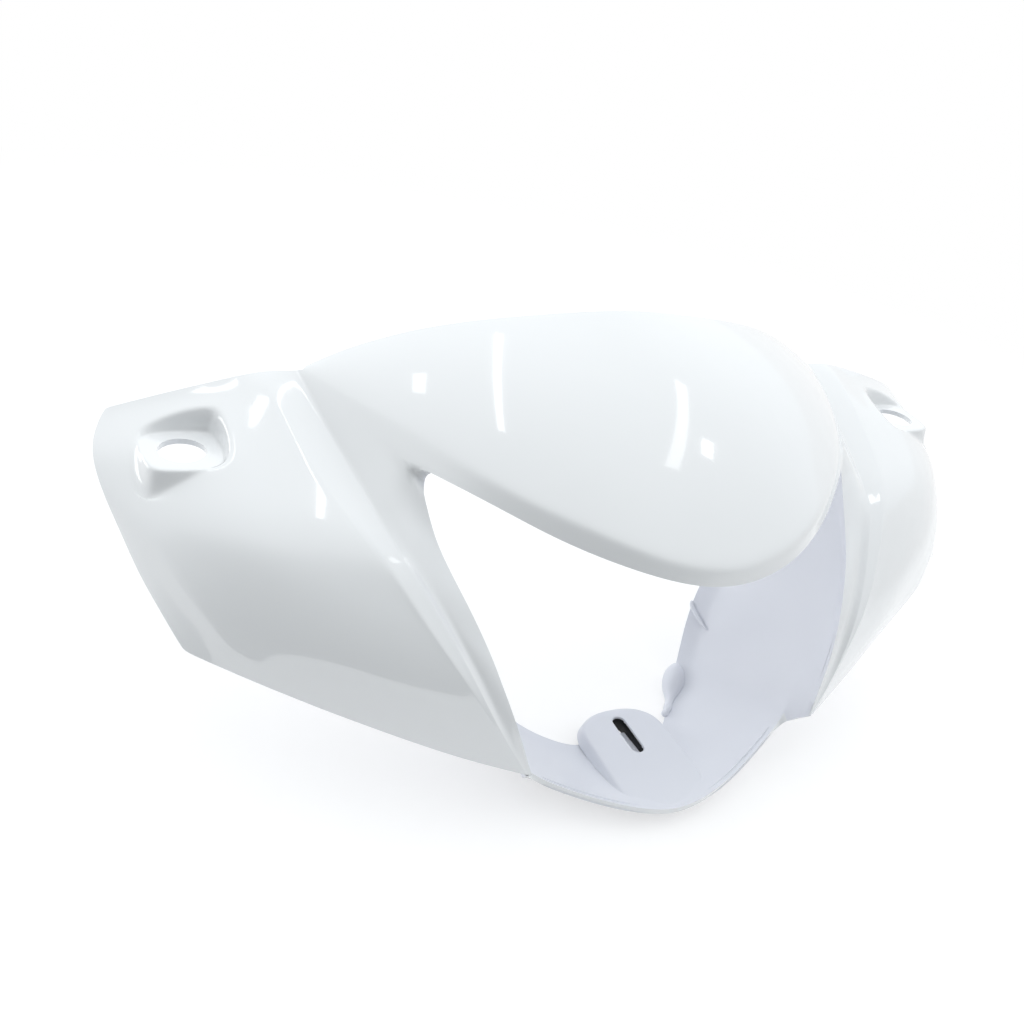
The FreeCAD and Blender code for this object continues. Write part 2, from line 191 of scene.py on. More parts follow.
class Cage:
    """Coarse net of faces that a subdivision surface turns into a smooth moulding."""

    def __init__(self) -> None:
        """Start an empty net."""
        self.mesh = bmesh.new()
        self.crease = self.mesh.edges.layers.float.new("crease_edge")

    def panel(self, rows: Rows, side: Finish = Finish.POLISHED) -> None:
        """Lay one four-sided panel through rows of points.

        Args:
            rows: Rows of equal length.
            side: Side of the mould that made the panel's outer face.
        """
        made = bmesh.ops.create_grid(self.mesh, x_segments=len(rows[0]) - 1,
                                     y_segments=len(rows) - 1, size=1.0)["verts"]
        made.sort(key=lambda v: (round(v.co.y, 5), v.co.x))
        for vert, point in zip(made, (p for row in rows for p in row)):
            vert.co = point
            for face in vert.link_faces:
                face.material_index = side.value

    def vert(self, point: Vector) -> bmesh.types.BMVert:
        """Vertex of the net that is nearest to a point."""
        return min(self.mesh.verts, key=lambda v: (v.co - point).length_squared)

    def join(self) -> None:
        """Merge the borders that panels share."""
        bmesh.ops.remove_doubles(self.mesh, verts=self.mesh.verts[:], dist=CENTRE_GAP)

    def sharpen(self, points: list[Vector], weights: list[float]) -> None:
        """Hold the net's edges along a row of points.

        Args:
            points: Row of the net's points.
            weights: Crease weight of each edge between them.
        """
        verts = [self.vert(p) for p in points]
        for a, b, weight in zip(verts, verts[1:], weights):
            for edge in a.link_edges:
                if edge.other_vert(a) is b:
                    edge[self.crease] = weight

    def circle(self, points: list[Vector]) -> list[bmesh.types.BMVert]:
        """Start the net from one closed ring.

        Args:
            points: Points in order round the ring.

        Returns:
            The ring's vertices in order.
        """
        loop = bmesh.ops.create_circle(self.mesh, segments=len(points), radius=1.0)["verts"]
        loop.sort(key=lambda v: math.atan2(v.co.y, v.co.x) % (2 * math.pi))
        for vert, point in zip(loop, points):
            vert.co = point
        return loop

    def rings(self, loop: list[bmesh.types.BMVert], rings: Rows) -> None:
        """Grow the net from a closed loop of vertices through rings of points.

        Args:
            loop: Vertices in order.
            rings: Rings of points, each as long as the loop.
        """
        for ring in rings:
            pairs = zip(loop, loop[1:] + loop[:1])
            edges = [next(e for e in a.link_edges if e.other_vert(a) is b) for a, b in pairs]
            made = bmesh.ops.extrude_edge_only(self.mesh, edges=edges)["geom"]
            fresh = [g for g in made if isinstance(g, bmesh.types.BMVert)]
            loop = [min(fresh, key=lambda v: (v.co - old.co).length_squared) for old in loop]
            for vert, point in zip(loop, ring):
                vert.co = point

    def mirror(self) -> None:
        """Add the other half of the moulding."""
        for vert in self.mesh.verts:
            if abs(vert.co.x) < CENTRE_GAP:
                vert.co.x = 0.0
        geom = self.mesh.verts[:] + self.mesh.edges[:] + self.mesh.faces[:]
        bmesh.ops.mirror(self.mesh, geom=geom, matrix=Matrix.Identity(4),
                         merge_dist=CENTRE_GAP, axis="X")

    def finish(self, name: str, up: Vector) -> bpy.types.Object:
        """Turn the net into an object, in metres.

        Args:
            name: Name of the piece.
            up: Point on the outer side of the face that lies nearest to it.

        Returns:
            The object, linked to the scene.
        """
        bmesh.ops.recalc_face_normals(self.mesh, faces=self.mesh.faces[:])
        nearest = min(self.mesh.faces, key=lambda f: (f.calc_center_median() - up).length_squared)
        if nearest.normal.dot(up - nearest.calc_center_median()) < 0.0:
            bmesh.ops.reverse_faces(self.mesh, faces=self.mesh.faces[:])
        for face in self.mesh.faces:
            face.smooth = True
        bmesh.ops.scale(self.mesh, vec=(MM, MM, MM), verts=self.mesh.verts[:])
        data = bpy.data.meshes.new(name)
        self.mesh.to_mesh(data)
        self.mesh.free()
        piece = bpy.data.objects.new(name, data)
        bpy.context.scene.collection.objects.link(piece)
        return piece


def smooth(piece: bpy.types.Object) -> None:
    """Give a net its smooth surface.

    Args:
        piece: Object made from a net.
    """
    surface = piece.modifiers.new("Smooth sheet", "SUBSURF")
    surface.levels = surface.render_levels = SUBDIVISION
    surface.boundary_smooth = "ALL"


def mould(piece: bpy.types.Object, wall: float, edge: float, sharp: float = 62.0) -> None:
    """Give a net its smooth surface, its wall and its rounded edges.

    Args:
        piece: Object made from a net.
        wall: Thickness of the wall, in millimetres.
        edge: Radius of the free edges, in millimetres.
        sharp: Angle in degrees over which an edge counts as free.
    """
    smooth(piece)
    thick = piece.modifiers.new("Wall", "SOLIDIFY")
    thick.thickness = wall * MM
    thick.offset = -1.0
    thick.material_offset = Finish.CORE.value
    rounded = piece.modifiers.new("Rounded edges", "BEVEL")
    rounded.width = edge * MM
    rounded.segments = 2
    rounded.limit_method = "ANGLE"
    rounded.angle_limit = math.radians(sharp)
    rounded.harden_normals = True


@dataclass
class Skin:
    """Visor, side strips and wings: the outer skin of the housing."""

    visor_crown: Ramp = Ramp(0.050, 0.070, (0.2, 0.8))
    visor_flare: float = 0.35
    visor_out: Span = (-0.45, 0.9)
    rim_round: float = 5.5
    rim_share: float = 0.93
    rim_turn: float = 0.45
    side_split: float = 0.36
    flange_start: float = 0.1
    strip_middle: Ramp = Ramp(0.5, 0.34, (0.4, 0.6))
    valley: Swell = Swell(2.2, (0.4, 0.65), (0.78, 0.93))
    wing_crown: float = 12.0
    wing_crown_low: float = 1.2
    wing_out: Point = (0.5, -0.6, 0.62)
    ribbon_distances: tuple[float, ...] = (4.5, 10.5, 13.2, 17.5)
    ribbon_heights: tuple[float, ...] = (0.5, 1.4, 1.6, 1.3)
    ribbon_width: Ramp = Ramp(0.9, 0.6, (0.25, 0.5))
    ribbon_taper: Ramp = Ramp(1.0, 0.15, (0.6, 0.93))
    ribbon_slope: float = 0.12
    ribbon_tilt: Swell = Swell(1.0, (0.0, 0.035), (0.4, 0.62))
    ribbon_swell: Swell = Swell(1.2, (0.3, 0.5), (0.7, 0.93))
    ribbon_foot: Span = (0.35, 0.5)
    facet_height: Ramp = Ramp(0.27, 1.8, (0.3, 0.5))
    facet_shares: tuple[float, ...] = (0.0, 0.0, 0.0, 0.25, 1.0, 0.3, 0.0)
    end_share: float = 0.975
    edge_dip: float = 0.4
    crease_hold: Swell = Swell(0.75, (0.0, 0.08), (0.75, 0.95), 0.9)
    ribbon_hold: Swell = Swell(0.6, (0.0, 0.035), (0.5, 0.75))
    facet_hold: Swell = Swell(0.4, (0.36, 0.5), (0.85, 0.97))
    pocket_hold: float = 0.9
    seat_centre: Point = (206.0, 0.0, 0.0)
    # Half sizes across and along, roundness and share of the skin's height, from the skin inwards
    seat_plan: tuple[tuple[float, float, float, float], ...] = (
        (21.0, 20.0, 0.42, 1.0), (18.3, 17.6, 0.44, 1.0), (17.0, 16.5, 0.46, 0.2),
        (16.4, 15.9, 0.48, 0.0), (14.0, 13.6, 0.70, 0.0))
    seat_play: float = 2.0
    hole_radius: float = 10.0
    block_shifts: tuple[float, ...] = (-0.27, -0.135, 0.0, 0.13, 0.25)
    block_low: tuple[float, ...] = (0.34, 0.48, 0.60, 0.70, 0.80)
    block_flow: Span = (0.33, 0.85)
    dome_shares: tuple[float, ...] = (0.0, 0.05, 0.18, 0.34, 0.50, 0.66, 0.79, 0.89)
    stations: tuple[float, ...] = (0.0, 0.035, 0.122, 0.21, 0.298, 0.386)
    pocket: int = 4
    lower_stations: int = 12
    last_station: float = 0.975
    visor_stations: int = 12
    rear_edge: Rail = Rail(((147.5, 28.5, 24.2), (133, 26, 33), (108, 20.5, 44), (91, 16.3, 49.8),
                            (69, 12.5, 54.8), (43, 9.5, 58.6), (22, 6.5, 61.6), (0, 5, 63)))
    rim: Rail = Rail(((149, 27, 23.4), (139.5, 4, 23.8), (128, -18.6, 23.3), (116.4, -37, 22.2),
                      (104.8, -54, 19.8), (92.6, -69.7, 16.6), (79.8, -83, 13.4), (59.7, -100, 9.3),
                      (44.6, -109, 6.0), (27.9, -116, 2.4), (0, -121, -0.5)))
    low_rim: Rail = Rail(((125.5, -38, 11.8), (118, -46, 12.8), (112, -54, 12.6), (106, -61, 11.6),
                          (93, -74, 8.6), (79.7, -86.5, 5.0), (65.7, -97.8, 1.7), (51.3, -107.5, -1),
                          (35.7, -115.5, -3.8), (17.5, -120.5, -7), (0, -121.8, -8.5)))
    crease: Rail = Rail(((151.5, 28.5, 22.2), (147.8, 6, 14.6), (143.3, -16.7, 6.4),
                         (139.2, -34.1, 0), (135.9, -50.1, -6.1), (131.9, -65.1, -12.9),
                         (128.3, -73.2, -17.9), (122.1, -83.6, -27.0), (116.5, -92.6, -36.2),
                         (111, -100.6, -45.6), (104.5, -108.7, -57.5), (93.5, -117.8, -78),
                         (81.5, -124.5, -97)))
    strip_line: Rail = Rail(((125.5, -38, 11.8), (128.6, -45, 3.5), (125.5, -60.3, -7.8),
                             (121.2, -72.2, -18.6), (115.7, -82.9, -28.4), (109.7, -92.9, -37.8),
                             (103.6, -102, -47.6), (92.8, -114.2, -71), (80.3, -124.7, -97.1)))
    opening: Rail = Rail(((117, -50.5, 4), (114.8, -61.8, -9), (111.7, -71.2, -17.5),
                          (106.2, -85, -28.4), (101.9, -93.7, -37.2), (97.2, -102.4, -47.9),
                          (94.6, -107.2, -55), (87.7, -116.5, -72.6), (79, -125, -97.2)))
    opening_corner: Point = (113.0, -40.3, 4.9)
    wing_top: Rail = Rail(((151.5, 28.5, 22.2), (168, 30, 21), (193.5, 29.6, 15.5),
                           (210, 30.6, 10.8), (226, 33, 5), (231.5, 35, 2.5)))
    wing_end: Rail = Rail(((231.5, 35, 2.5), (236.5, 29, -2.7), (239.6, 15.7, -8.6),
                           (237.9, 3.2, -16.4), (232.5, -14.6, -28.4), (227.1, -30.9, -39.4),
                           (221.3, -44.2, -48.4), (217, -53.0, -55), (214, -57.5, -59.5)))
    wing_bottom: Rail = Rail(((81.5, -124.5, -97), (92, -119.4, -96.4), (108.7, -112, -92.5),
                              (125, -104.6, -88), (140.6, -96.9, -83.4), (156.5, -90, -78.2),
                              (172, -83, -72.4), (187, -75.3, -67.2), (208, -61.8, -61.7),
                              (214, -57.5, -59.5)))

    @cached_property
    def outward(self) -> Vector:
        """Direction in which a wing is crowned."""
        return Vector(self.wing_out).normalized()

    @cached_property
    def downs(self) -> list[float]:
        """Shares of the stations from the notch to the wing tip."""
        first = self.stations[-1]
        count = self.lower_stations - 1
        lower = [between(first, self.last_station, (i + 1) / count) for i in range(count)]
        return [*self.stations, *lower, 1.0]

    def wing_point(self, across: float, down: float) -> Vector:
        """Point of the plain wing between its four edges.

        Args:
            across: 0 on the crease, 1 on the wing's end.
            down: 0 on the rear edge, 1 on the lower edge.

        Returns:
            The point on the skin.
        """
        sides = self.crease.at(down).lerp(self.wing_end.at(down), across)
        ends = self.wing_top.at(across).lerp(self.wing_bottom.at(across), down)
        rear = self.wing_top.at(0).lerp(self.wing_top.at(1), across)
        low = self.wing_bottom.at(0).lerp(self.wing_bottom.at(1), across)
        height = math.sin(math.pi * across) * math.sin(math.pi * down ** self.wing_crown_low)
        return sides + ends - rear.lerp(low, down) + self.outward * (self.wing_crown * height)

    @cached_property
    def seat_shares(self) -> Span:
        """Shares across and down at which the mirror hole's axis meets the wing."""
        return self.shares_over(*self.seat_centre[:2])

    def shares_over(self, x: float, y: float) -> Span:
        """Shares of the wing's point over a place in plan.

        Args:
            x: Place across the bike.
            y: Place along the bike.

        Returns:
            Shares across and down.
        """
        across, down = 0.65, 0.18
        step, limit, rounds = 0.01, 0.985, 12
        for _ in range(rounds):
            here = self.wing_point(across, down)
            du = (self.wing_point(across + step, down) - here) / step
            dv = (self.wing_point(across, down + step) - here) / step
            det = du.x * dv.y - dv.x * du.y
            ex, ey = x - here.x, y - here.y
            across = min(max(across + (ex * dv.y - dv.x * ey) / det, 0.0), limit)
            down = min(max(down + (du.x * ey - ex * du.y) / det, 0.0), limit)
        return across, down

    def dome_rows(self) -> Rows:
        """Rows of the visor's dome, one for each station from the notch to the centre."""
        start = self.stations[self.pocket]
        count = self.visor_stations
        fore = [between(start, 1.0, i / count) for i in range(1, count + 1)]
        rows = []
        for share in [*self.stations[:self.pocket + 1], *fore]:
            rear, front = self.rear_edge.at(share), self.rim.at(share)
            width = (front - rear).length
            lean = rear.x / self.rim.at(0).x
            out = Vector((self.visor_flare * lean, *self.visor_out)).normalized()
            crown = self.visor_crown.at(share) * width
            near_rim = max(1 - self.rim_round / width, self.rim_share)
            rows.append([rear.lerp(front, s) + out * (4 * crown * s * (1 - s))
                         for s in (*self.dome_shares, near_rim, 1.0)])
        return rows

    def side_rows(self, dome: Rows) -> Rows:
        """Rows of the face between the visor and a wing, up to the pocket.

        Args:
            dome: Rows of the dome.

        Returns:
            Rows from the rim to the crease.
        """
        rows = []
        for i in range(self.pocket + 1):
            rim, crease = dome[i][-1], self.crease.at(self.downs[i])
            split = self.strip_line.at(0) if i == self.pocket else rim.lerp(crease, self.side_split)
            rows.append([rim, rim.lerp(split, self.rim_turn), split, split.lerp(crease, 0.5), crease])
        return rows

    def flange_rows(self, dome: Rows) -> Rows:
        """Rows of the visor's turned-down rim, from the pocket to the centre.

        Args:
            dome: Rows of the dome.

        Returns:
            Rows from the rim to its free edge.
        """
        rows = []
        for i, row in enumerate(dome[self.pocket:]):
            share = (i - 1) / (self.visor_stations - 1)
            rim, low = row[-1], self.low_rim.at(between(self.flange_start, 1.0, share) if i else 0.0)
            rows.append([rim, rim.lerp(low, self.rim_turn), low])
        return rows

    def strip_rows(self) -> tuple[Rows, Rows]:
        """Rows of the strip's outer and inner bands, from the pocket to the tip."""
        outer, inner = [], []
        lower = self.downs[self.pocket:]
        for down in lower:
            share = (down - lower[0]) / (1 - lower[0])
            crease, line = self.crease.at(down), self.strip_line.at(share)
            middle = crease.lerp(line, self.strip_middle.at(down))
            outer.append([crease, middle - self.outward * self.valley.at(down), line])
            inner.append([line, self.opening.at(share)])
        return outer, inner

    @property
    def ribbon_line(self) -> int:
        """Number of the net's line along the ribbon's outer edge."""
        return len(self.ribbon_distances)

    @property
    def block_line(self) -> int:
        """Number of the first line of the block that the mirror seat replaces."""
        return self.ribbon_line + 2

    def wing_rows(self) -> Rows:
        """Rows of a wing with its ribbon and end facet.

        Returns:
            Rows from the rear edge to the lower edge.
        """
        seat_across, _ = self.seat_shares
        rows = []
        for down in self.downs:
            width = (self.wing_end.at(down) - self.crease.at(down)).length
            narrow = self.ribbon_width.at(down) * self.ribbon_taper.at(down)
            flow = blend(down, *self.block_flow)
            tilt, proud = self.ribbon_tilt.at(down), self.ribbon_swell.at(down)
            facet = self.facet_height.at(down)
            ribbon = [d * narrow / width for d in self.ribbon_distances]
            raised = [h * proud + d * self.ribbon_slope * tilt
                      for d, h in zip(self.ribbon_distances, self.ribbon_heights)]
            block = [between(seat_across + shift, low, flow)
                     for shift, low in zip(self.block_shifts, self.block_low)]
            shares = [0.0, *ribbon, (ribbon[-1] + block[0]) / 2, *block, self.end_share, 1.0]
            heights = [0.0, *raised, between(*self.ribbon_foot, tilt) * raised[-1],
                       *(share * facet for share in self.facet_shares)]
            dip = self.edge_dip if down == self.stations[1] else 0.0
            rows.append([self.wing_point(s, down) + self.outward * (h - dip * math.sin(math.pi * s))
                         for s, h in zip(shares, heights)])
        return rows

    def seat_rings(self) -> Rows:
        """Rings from the skin to the mirror hole.

        Returns:
            Rings in order, each in the order of the block's border.
        """
        middle_x, middle_y, floor = self.seat_centre
        rings = []
        for half_x, half_y, roundness, rise in self.seat_plan:
            ring = []
            for a, b in self.seat_outline(roundness):
                x, y = middle_x + half_x * a, middle_y - half_y * b
                skin = self.wing_point(*self.shares_over(x, y)).z
                level = min(max(skin * rise, -self.seat_play), self.seat_play) if rise < 1.0 else skin
                ring.append(Vector((x, y, level)))
            rings.append(ring)
        circle = self.seat_outline(1.0)
        # A smoothed border draws in, so the last ring of the net is larger than the hole
        spread = self.hole_radius * 6 / (4 + 2 * math.cos(2 * math.pi / len(circle)))
        hole = [Vector((middle_x + spread * a, middle_y - spread * b, floor)) for a, b in circle]
        return [*rings, hole]

    def seat_outline(self, roundness: float) -> list[Span]:
        """Border of the square from -1 to 1, moved towards the circle inside it.

        Args:
            roundness: 0 for the square, 1 for the circle.

        Returns:
            Points in the order of the block's border.
        """
        points = []
        for row, col in self.block_border():
            a, b = 2 * col / BLOCK_CELLS - 1, 2 * row / BLOCK_CELLS - 1
            points.append((a * (1 - roundness + roundness * math.sqrt(1 - b * b / 2)),
                           b * (1 - roundness + roundness * math.sqrt(1 - a * a / 2))))
        return points

    @staticmethod
    def block_border() -> list[tuple[int, int]]:
        """Rows and columns of the block's border, in order round it."""
        top = [(0, c) for c in range(BLOCK_CELLS)]
        right = [(r, BLOCK_CELLS) for r in range(BLOCK_CELLS)]
        bottom = [(BLOCK_CELLS, c) for c in range(BLOCK_CELLS, 0, -1)]
        left = [(r, 0) for r in range(BLOCK_CELLS, 0, -1)]
        return top + right + bottom + left

    def lay(self, cage: Cage) -> list[Vector]:
        """Lay the skin's panels, cut the mirror seat and hold the crisp lines.

        Args:
            cage: Net of the moulding.

        Returns:
            The free edge of the lamp opening, from the pocket to the tip.
        """
        dome = self.dome_rows()
        side, flange = self.side_rows(dome), self.flange_rows(dome)
        outer, inner = self.strip_rows()
        wing, block = self.wing_rows(), self.block_line
        for rows in (dome, side, flange, outer, inner, wing):
            cage.panel(rows)
        pocket, first_low, first_edge = side[-1][2], flange[1][2], inner[0][1]
        cage.panel([[pocket, first_low], [first_edge, Vector(self.opening_corner)]])
        cage.join()
        inside = range(1, BLOCK_CELLS)
        middle = [cage.vert(wing[1 + r][block + c]) for r in inside for c in inside]
        loop = [cage.vert(wing[1 + r][block + c]) for r, c in self.block_border()]
        bmesh.ops.delete(cage.mesh, geom=middle, context="VERTS")
        cage.rings(loop, self.seat_rings())
        for line, hold in ((0, self.crease_hold), (self.ribbon_line, self.ribbon_hold),
                           (block + BLOCK_CELLS, self.facet_hold)):
            cage.sharpen([row[line] for row in wing], [hold.at(down) for down in self.downs])
        cage.sharpen([first_low, pocket, first_edge], [self.pocket_hold] * 2)
        LOG.info("skin: %d stations, seat at %.3f across, %.3f down",
                 len(self.downs), *self.seat_shares)
        return [row[1] for row in inner]


@dataclass
class Chin:
    """Trough under the lamp opening, with its lip and its side walls."""

    belly: Ramp = Ramp(0.6, 3.0, (12.0, 48.0))
    band: Ramp = Ramp(0.0, 1.8, (40.0, 70.0))
    band_turn: Swell = Swell(1.0, (0.6, 0.88), (0.88, 1.0))
    lip_drop: float = 3.6
    lip_lean: float = 0.4
    lip_stations: int = 7
    corner_share: float = 0.44
    shoulder_start: float = 0.08
    shoulder_hold: float = 0.55
    edge_hold: float = 0.8
    axis: Point = (0.0, -70.0, -30.0)
    front: Rail = Rail(((0, -139, -126), (22, -136, -122.7), (41, -129, -119), (59, -121, -114),
                        (68, -117, -110.5), (76, -113, -105.5)))
    lip_corner: Point = (76.2, -115, -107.8)
    shoulder: Rail = Rail(((76, -113, -105.5), (81.8, -106.9, -91.7), (91, -104.3, -76.1),
                           (97, -101, -63), (103, -93.5, -49), (108, -84, -37), (112, -72, -25),
                           (115, -58, -12), (117, -50, -6)))
    rear: Rail = Rail(((0, -82, -131), (14, -83.6, -131.8), (26.5, -84.4, -132.8), (37, -72.3, -135.2),
                       (47, -59.8, -135.3), (60, -44, -127), (69, -32, -115), (75, -25, -101),
                       (84, -18, -88), (100, -8, -58), (118, -2, -25)))
    row_shares: tuple[float, ...] = (0.0, 0.06, 0.25, 0.48, 0.70, 0.83, 0.88, 0.94, 1.0)

    def row(self, outer: Vector, front: Vector, rear: Vector) -> list[Vector]:
        """Row of the trough.

        Args:
            outer: Free edge of the lip, or the strip's edge.
            front: Line where the row turns into the trough.
            rear: Rear edge of the trough.

        Returns:
            Points from the outer edge to the rear edge.
        """
        out = ((front + rear) * 0.5 - Vector(self.axis)).normalized()
        belly, band = self.belly.at(front.x), self.band.at(front.x)
        inside = [front.lerp(rear, s) + out * (4 * belly * s * (1 - s) + band * self.band_turn.at(s))
                  for s in self.row_shares]
        return [outer, *inside]

    def lay(self, cage: Cage, strip_edge: list[Vector]) -> None:
        """Lay the trough from the lip's middle up to the pocket.

        Args:
            cage: Net of the moulding.
            strip_edge: Edge of the strip where the side wall turns back, from the pocket down.
        """
        rows = []
        for i in range(self.lip_stations + 1):
            share = i / self.lip_stations
            front = self.front.at(share)
            lip = front + Vector((0.0, self.lip_lean, -self.lip_drop))
            outer = lip if share < 1 else Vector(self.lip_corner)
            rows.append(self.row(outer, front, self.rear.at(share * self.corner_share)))
        for i, edge in enumerate(reversed(strip_edge)):
            share = between(self.shoulder_start, 1.0, i / (len(strip_edge) - 1))
            rows.append(self.row(edge, self.shoulder.at(share),
                                 self.rear.at(between(self.corner_share, 1.0, share))))
        cage.panel([row[:2] for row in rows[:self.lip_stations + 1]])
        # The strip's return face takes the darker core finish, painted shade for the channel behind
        # the strip
        cage.panel([row[:2] for row in rows[self.lip_stations:]], Finish.CORE)
        cage.panel([row[1:] for row in rows], Finish.CORE)
        cage.join()
        cage.sharpen([row[1] for row in rows], [self.shoulder_hold] * len(rows))
        cage.sharpen(strip_edge, [self.edge_hold] * len(strip_edge))
        LOG.info("chin: %d rows", len(rows))


@dataclass
class AdjusterTab:
    """Raised tab on the chin floor with the slot for the lamp's aiming screw."""

    wall: float = 1.6
    edge_radius: float = 0.4
    top: float = -125.0
    sink: Ramp = Ramp(0.0, 0.9, (118.0, 138.0))
    skirt: Ramp = Ramp(1.0, 0.25, (92.0, 122.0))
    slot_middle: float = -89.5
    slot_width: float = 7.0
    slot_length: float = 25.0
    nose: float = -70.5
    nose_power: float = 2.5
    root: float = -136.0
    root_power: float = 7.0
    half_width: float = 23.5
    segments: int = 32
    # Drop below the tab's top and growth of each outline, in order
    slot_profile: tuple[Span, ...] = ((0.7, 0.0), (0.1, 0.15), (0.0, 0.7), (0.0, 2.0))
    edge_profile: tuple[Span, ...] = ((0.0, -3.2), (0.1, -1.0), (1.1, 0.0), (5.5, 1.2), (6.5, 1.4))
    shade_sleeve_profile: tuple[Span, ...] = ((8.5, -0.05), (4.25, -0.05), (1.2, -0.05), (0.9, 0.3))
    above: Point = (12.0, -89.0, -90.0)
    slot_inside: Point = (0.0, -89.5, -129.0)

    def level(self, y: float) -> float:
        """Height of the tab's top, which sinks into the floor in front."""
        return self.top - self.sink.at(-y)

    @property
    def ways(self) -> list[Span]:
        """Directions from the slot's middle to the points of an outline."""
        angles = [2 * math.pi * (i + 0.5) / self.segments for i in range(self.segments)]
        return [(math.cos(angle), math.sin(angle)) for angle in angles]

    def outline(self, drop: float, margin: float) -> list[Vector]:
        """Round-nosed outline of the tab.

        Args:
            drop: How far the outline lies below the top.
            margin: How far the outline is grown.

        Returns:
            Points in order round the tab.
        """
        nose = self.nose - self.slot_middle, self.nose_power
        root = self.slot_middle - self.root, self.root_power
        points = []
        for x, y in self.ways:
            reach, power = nose if y > 0 else root
            scale = (abs(x) ** power + abs(y) ** power) ** (-1 / power)
            across = x * scale * (self.half_width + margin)
            along = self.slot_middle + y * scale * (reach + margin)
            points.append(Vector((across, along, self.level(along) - drop * self.skirt.at(-along))))
        return points

    def slot(self, drop: float, margin: float) -> list[Vector]:
        """Outline of the slot, with round ends.

        Args:
            drop: How far the outline lies below the top.
            margin: How far the outline is grown.

        Returns:
            Points in order round the slot.
        """
        points = []
        straight = (self.slot_length - self.slot_width) / 2
        radius = self.slot_width / 2 + margin
        for x, y in self.ways:
            along = self.slot_middle + math.copysign(straight, y) + y * radius
            points.append(Vector((x * radius, along, self.top - drop)))
        return points

    def build(self) -> bpy.types.Object:
        """Build the tab.

        Returns:
            The finished piece.
        """
        cage = Cage()
        cage.rings(cage.circle(self.slot(self.wall, 0.0)),
                   [*(self.slot(*step) for step in self.slot_profile),
                    *(self.outline(*step) for step in self.edge_profile)])
        piece = cage.finish("adjuster_tab", Vector(self.above))
        mould(piece, self.wall, self.edge_radius)
        LOG.info("tab: %d net faces", len(piece.data.polygons))
        return piece

    def shade_sleeve(self) -> bpy.types.Object:
        """Build the black sleeve in the slot, which is painted shade for the dark under the tab.

        Returns:
            The finished piece.
        """
        cage = Cage()
        first, *rings = (self.slot(*step) for step in self.shade_sleeve_profile)
        cage.rings(cage.circle(first), rings)
        piece = cage.finish("slot_shade_sleeve", Vector(self.slot_inside))
        LOG.info("lining: %d net faces", len(piece.data.polygons))
        return piece


@dataclass(frozen=True)
class EdgeRib:
    """Round rib that is moulded half into the wall and swells along its line."""

    line: Rail
    radii: tuple[Span, ...]
    segments: int = 10
    reach: float = 0.02

    def lay(self, cage: Cage) -> None:
        """Lay the rib and close its ends.

        Args:
            cage: Net of the ribs.
        """
        rings = []
        for share, radius in self.radii:
            middle = self.line.at(share)
            along = (self.line.at(share + self.reach) - self.line.at(share - self.reach)).normalized()
            side = along.orthogonal().normalized()
            turns = [Matrix.Rotation(2 * math.pi * i / self.segments, 3, along)
                     for i in range(self.segments)]
            rings.append([middle + turn @ side * radius for turn in turns])
        cage.rings(cage.circle(rings[0]), rings[1:])
        bmesh.ops.holes_fill(cage.mesh, edges=cage.mesh.edges[:], sides=self.segments)


@dataclass
class ClipRibs:
    """Clip peg and stiffening rib at the rear edge of the chin's left side wall."""

    ribs: tuple[EdgeRib, ...] = (
        EdgeRib(Rail(((34.5, -74, -134.4), (39.5, -70, -134.4), (48, -60, -134.2), (55.5, -50.5, -130),
                      (60.5, -44.5, -126.5))),
                ((0.0, 0.9), (0.06, 3.0), (0.16, 3.2), (0.26, 1.8), (0.42, 3.0), (0.54, 5.6),
                 (0.68, 6.8), (0.82, 6.2), (0.93, 3.8), (0.98, 1.0))),
        EdgeRib(Rail(((75.2, -23.5, -100.5), (74.6, -28, -103.6), (74.6, -36, -106),
                      (75.2, -43, -107.2))),
                ((0.0, 0.6), (0.1, 1.7), (0.24, 1.5), (0.5, 1.3), (0.8, 0.9), (1.0, 0.3))),
    )
    outside: Point = (120.0, -50.5, -100.0)

    def build(self) -> bpy.types.Object:
        """Build the ribs.

        Returns:
            The finished piece.
        """
        cage = Cage()
        for rib in self.ribs:
            rib.lay(cage)
        piece = cage.finish("clip_ribs", Vector(self.outside))
        smooth(piece)
        LOG.info("ribs: %d net faces", len(piece.data.polygons))
        return piece


def linear(colour: str) -> tuple[float, float, float, float]:
    """Linear colour of an sRGB hex value.

    Args:
        colour: Six hex digits after a hash sign.

    Returns:
        Red, green, blue and alpha.
    """
    parts = [int(colour[i:i + 2], 16) / 255 for i in (1, 3, 5)]
    red, green, blue = (p / 12.92 if p <= 0.04045 else ((p + 0.055) / 1.055) ** 2.4 for p in parts)
    return red, green, blue, 1.0


def add_node(tree: bpy.types.NodeTree, kind: str, settings: dict[str, object] | None = None,
             links: dict[str | int, bpy.types.NodeSocket] | None = None) -> bpy.types.Node:
    """Add a node with its settings and links.

    Args:
        tree: Tree that gets the node.
        kind: Blender's name of the node.
        settings: Values of its attributes, or of its inputs where no attribute has the name.
        links: Sockets that feed its inputs.

    Returns:
        The node.
    """
    node = tree.nodes.new(kind)
    for name, value in (settings or {}).items():
        if hasattr(node, name):
            setattr(node, name, value)
        else:
            node.inputs[name].default_value = value
    for name, socket in (links or {}).items():
        tree.links.new(socket, node.inputs[name])
    return node


